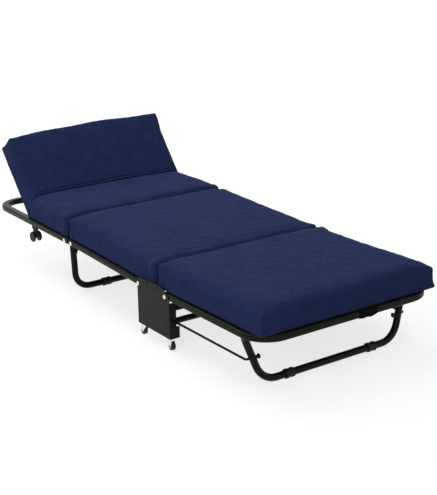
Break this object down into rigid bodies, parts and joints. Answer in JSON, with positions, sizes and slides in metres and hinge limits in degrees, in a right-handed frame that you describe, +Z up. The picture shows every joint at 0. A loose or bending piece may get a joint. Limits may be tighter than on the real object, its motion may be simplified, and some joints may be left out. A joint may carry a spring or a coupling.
{
  "type": "rollaway bed",
  "caption": "Folding guest bed: padded mattress panels on a hinged tube frame with a raised backrest, folding up on a wheeled centre box.",
  "frame": {"origin": "centre of the footprint, on the floor", "axes": "+Z up, +Y from the foot end to the head end with the backrest, +X to the right hand of someone looking from the foot to the head"},
  "size_m": [0.7642, 1.9021, 0.5381],
  "materials": {
    "frame_paint": "gloss black",
    "rod_paint": "satin black",
    "zinc_steel": "bright zinc",
    "black_plastic": "matt",
    "wheel_grey": "matt",
    "mattress_fabric": "quilted weave",
    "webbing": "woven"
  },
  "bodies": {
    "centre_box": {"side_plate_left": "frame_paint", "side_plate_right": "frame_paint", "upper_cross_tube": "frame_paint", "lower_cross_tube": "frame_paint", "foot_pivot_bolt_left": "zinc_steel", "foot_pivot_bolt_right": "zinc_steel", "middle_pivot_bolt_left": "zinc_steel", "middle_pivot_bolt_right": "zinc_steel", "foot_mattress_fold": "mattress_fabric", "middle_mattress_fold": "mattress_fabric"},
    "foot_section": {"foot_frame": "frame_paint", "foot_slat_1": "frame_paint", "foot_slat_2": "frame_paint", "foot_slat_3": "frame_paint", "foot_mattress": "mattress_fabric", "mattress_strap": "webbing", "foot_leg_bolt_left": "zinc_steel", "foot_leg_bolt_right": "zinc_steel"},
    "foot_leg_unit": {"foot_leg": "frame_paint", "foot_leg_sleeve_left": "black_plastic", "foot_leg_sleeve_right": "black_plastic"},
    "foot_rods": {"foot_rod_left": "rod_paint", "foot_rod_right": "rod_paint", "rod_cap_left": "black_plastic", "rod_cap_right": "black_plastic"},
    "middle_section": {"middle_rail_left": "frame_paint", "middle_rail_right": "frame_paint", "middle_slat_1": "frame_paint", "middle_slat_2": "frame_paint", "middle_slat_3": "frame_paint", "middle_mattress": "mattress_fabric"},
    "middle_leg_unit": {"middle_leg": "frame_paint", "middle_leg_sleeve_left": "black_plastic", "middle_leg_sleeve_right": "black_plastic", "middle_hinge_bolt_left": "zinc_steel", "middle_hinge_bolt_right": "zinc_steel", "head_hinge_bolt_left": "zinc_steel", "head_hinge_bolt_right": "zinc_steel"},
    "head_section": {"head_frame": "frame_paint", "head_slat_1": "frame_paint", "head_slat_2": "frame_paint", "head_mattress": "mattress_fabric", "head_mattress_fold": "mattress_fabric", "backrest_hinge_left": "frame_paint", "backrest_hinge_right": "frame_paint"},
    "backrest": {"backrest_frame": "frame_paint", "backrest_mattress": "mattress_fabric"},
    "caster_swivel_foot_left": {"caster_fork_foot_left": "zinc_steel"},
    "caster_roller_foot_left": {"caster_wheel_foot_left": "wheel_grey"},
    "caster_swivel_foot_right": {"caster_fork_foot_right": "zinc_steel"},
    "caster_roller_foot_right": {"caster_wheel_foot_right": "wheel_grey"},
    "caster_swivel_head_left": {"caster_fork_head_left": "zinc_steel"},
    "caster_roller_head_left": {"caster_wheel_head_left": "wheel_grey"},
    "caster_swivel_head_right": {"caster_fork_head_right": "zinc_steel"},
    "caster_roller_head_right": {"caster_wheel_head_right": "wheel_grey"},
    "head_caster_swivel_left": {"head_caster_fork_left": "black_plastic"},
    "head_caster_roller_left": {"head_caster_wheels_left": "black_plastic"},
    "head_caster_swivel_right": {"head_caster_fork_right": "black_plastic"},
    "head_caster_roller_right": {"head_caster_wheels_right": "black_plastic"}
  },
  "joints": [
    {"name": "foot_fold", "type": "hinge", "parent": "centre_box", "child": "foot_section", "pos_m": [0, -0.41895, 0.197], "axis": [-1, 0, 0], "range_deg": [0, 78], "deforming": ["foot_mattress_fold"]},
    {"name": "foot_leg_fold", "type": "hinge", "parent": "foot_section", "child": "foot_leg_unit", "pos_m": [0, -0.81494, 0.20011], "axis": [-1, 0, 0], "range_deg": [-78, 0]},
    {"name": "rod_swing", "type": "hinge", "parent": "centre_box", "child": "foot_rods", "pos_m": [0, -0.43321, 0.09802], "axis": [-1, 0, 0], "range_deg": [0, 78]},
    {"name": "middle_fold", "type": "hinge", "parent": "centre_box", "child": "middle_section", "pos_m": [0, -0.24695, 0.197], "axis": [1, 0, 0], "range_deg": [0, 78], "deforming": ["middle_mattress_fold"]},
    {"name": "middle_leg_fold", "type": "hinge", "parent": "middle_section", "child": "middle_leg_unit", "pos_m": [0, 0.25505, 0.2115], "axis": [1, 0, 0], "range_deg": [-78, 0]},
    {"name": "head_fold", "type": "hinge", "parent": "middle_leg_unit", "child": "head_section", "pos_m": [0, 0.30805, 0.2115], "axis": [-1, 0, 0], "range_deg": [0, 78]},
    {"name": "backrest_tilt", "type": "hinge", "parent": "head_section", "child": "backrest", "pos_m": [0, 0.65105, 0.2115], "axis": [1, 0, 0], "range_deg": [-49.5, 0], "deforming": ["head_mattress_fold"]},
    {"name": "swivel_foot_left", "type": "hinge", "parent": "centre_box", "child": "caster_swivel_foot_left", "pos_m": [-0.358, -0.41795, 0.046], "axis": [0, 0, 1], "continuous": true},
    {"name": "roll_foot_left", "type": "hinge", "parent": "caster_swivel_foot_left", "child": "caster_roller_foot_left", "pos_m": [-0.358, -0.42595, 0.016], "axis": [1, 0, 0], "continuous": true},
    {"name": "swivel_foot_right", "type": "hinge", "parent": "centre_box", "child": "caster_swivel_foot_right", "pos_m": [0.358, -0.41795, 0.046], "axis": [0, 0, 1], "continuous": true},
    {"name": "roll_foot_right", "type": "hinge", "parent": "caster_swivel_foot_right", "child": "caster_roller_foot_right", "pos_m": [0.358, -0.42595, 0.016], "axis": [1, 0, 0], "continuous": true},
    {"name": "swivel_head_left", "type": "hinge", "parent": "centre_box", "child": "caster_swivel_head_left", "pos_m": [-0.358, -0.25195, 0.046], "axis": [0, 0, 1], "continuous": true},
    {"name": "roll_head_left", "type": "hinge", "parent": "caster_swivel_head_left", "child": "caster_roller_head_left", "pos_m": [-0.358, -0.24395, 0.016], "axis": [1, 0, 0], "continuous": true},
    {"name": "swivel_head_right", "type": "hinge", "parent": "centre_box", "child": "caster_swivel_head_right", "pos_m": [0.358, -0.25195, 0.046], "axis": [0, 0, 1], "continuous": true},
    {"name": "roll_head_right", "type": "hinge", "parent": "caster_swivel_head_right", "child": "caster_roller_head_right", "pos_m": [0.358, -0.24395, 0.016], "axis": [1, 0, 0], "continuous": true},
    {"name": "swivel_under_head_left", "type": "hinge", "parent": "head_section", "child": "head_caster_swivel_left", "pos_m": [-0.36, 0.59105, 0.2], "axis": [0, 0, 1], "continuous": true},
    {"name": "roll_under_head_left", "type": "hinge", "parent": "head_caster_swivel_left", "child": "head_caster_roller_left", "pos_m": [-0.36, 0.59105, 0.154], "axis": [1, 0, 0], "continuous": true},
    {"name": "swivel_under_head_right", "type": "hinge", "parent": "head_section", "child": "head_caster_swivel_right", "pos_m": [0.36, 0.59105, 0.2], "axis": [0, 0, 1], "continuous": true},
    {"name": "roll_under_head_right", "type": "hinge", "parent": "head_caster_swivel_right", "child": "head_caster_roller_right", "pos_m": [0.36, 0.59105, 0.154], "axis": [1, 0, 0], "continuous": true}
  ],
  "couplings": [
    {"joint": "foot_leg_fold", "follows": "foot_fold", "ratio": -1},
    {"joint": "rod_swing", "follows": "foot_fold", "ratio": 1},
    {"joint": "middle_leg_fold", "follows": "middle_fold", "ratio": -1},
    {"joint": "head_fold", "follows": "middle_fold", "ratio": 1}
  ]
}
